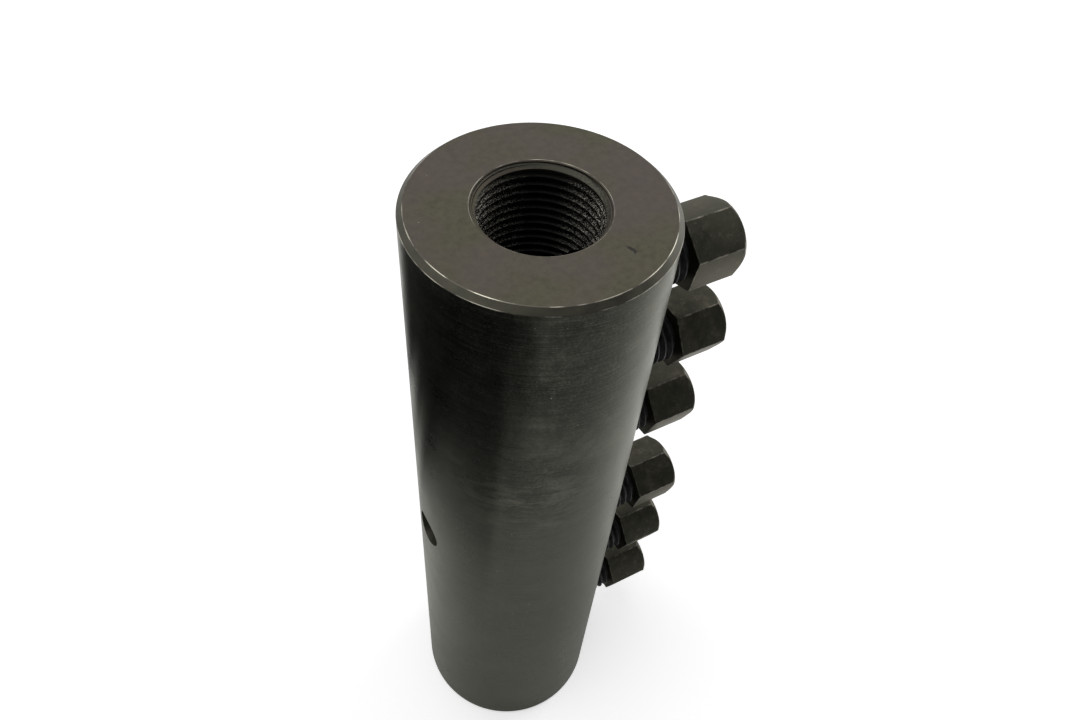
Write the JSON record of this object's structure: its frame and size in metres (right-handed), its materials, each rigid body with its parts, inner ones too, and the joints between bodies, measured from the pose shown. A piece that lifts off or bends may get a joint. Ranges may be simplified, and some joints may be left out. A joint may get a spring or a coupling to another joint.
{
  "type": "rebar coupler",
  "caption": "Thick steel sleeve with a threaded through bore and a row of hexagon-headed shear bolts along one side, for joining two reinforcing bars end to end.",
  "frame": {"origin": "centre of the bore at mid-length of the sleeve, where the two bars meet", "axes": "+Z along the bore towards the end that stands up, +X towards the bolt heads"},
  "size_m": [0.078, 0.054, 0.202],
  "materials": {
    "sleeve_steel": "turned, with a thin grey-brown oxide",
    "bolt_steel": "black oxide, worn at the edges of the heads"
  },
  "bodies": {
    "sleeve": {"sleeve": "sleeve_steel"},
    "bolt_1": {"shear_bolt_1": "bolt_steel"},
    "bolt_2": {"shear_bolt_2": "bolt_steel"},
    "bolt_3": {"shear_bolt_3": "bolt_steel"},
    "bolt_4": {"shear_bolt_4": "bolt_steel"},
    "bolt_5": {"shear_bolt_5": "bolt_steel"},
    "bolt_6": {"shear_bolt_6": "bolt_steel"}
  },
  "joints": [
    {"name": "bolt_1_screws_in", "type": "slide", "parent": "sleeve", "child": "bolt_1", "axis": [-1, 0, 0], "range_m": [-0.0069, 0.008]},
    {"name": "bolt_2_screws_in", "type": "slide", "parent": "sleeve", "child": "bolt_2", "axis": [-1, 0, 0], "range_m": [-0.0047, 0.0102]},
    {"name": "bolt_3_screws_in", "type": "slide", "parent": "sleeve", "child": "bolt_3", "axis": [-1, 0, 0], "range_m": [-0.0074, 0.0075]},
    {"name": "bolt_4_screws_in", "type": "slide", "parent": "sleeve", "child": "bolt_4", "axis": [-1, 0, 0], "range_m": [-0.0051, 0.0098]},
    {"name": "bolt_5_screws_in", "type": "slide", "parent": "sleeve", "child": "bolt_5", "axis": [-1, 0, 0], "range_m": [-0.0053, 0.0096]},
    {"name": "bolt_6_screws_in", "type": "slide", "parent": "sleeve", "child": "bolt_6", "axis": [-1, 0, 0], "range_m": [-0.0061, 0.0088]}
  ]
}
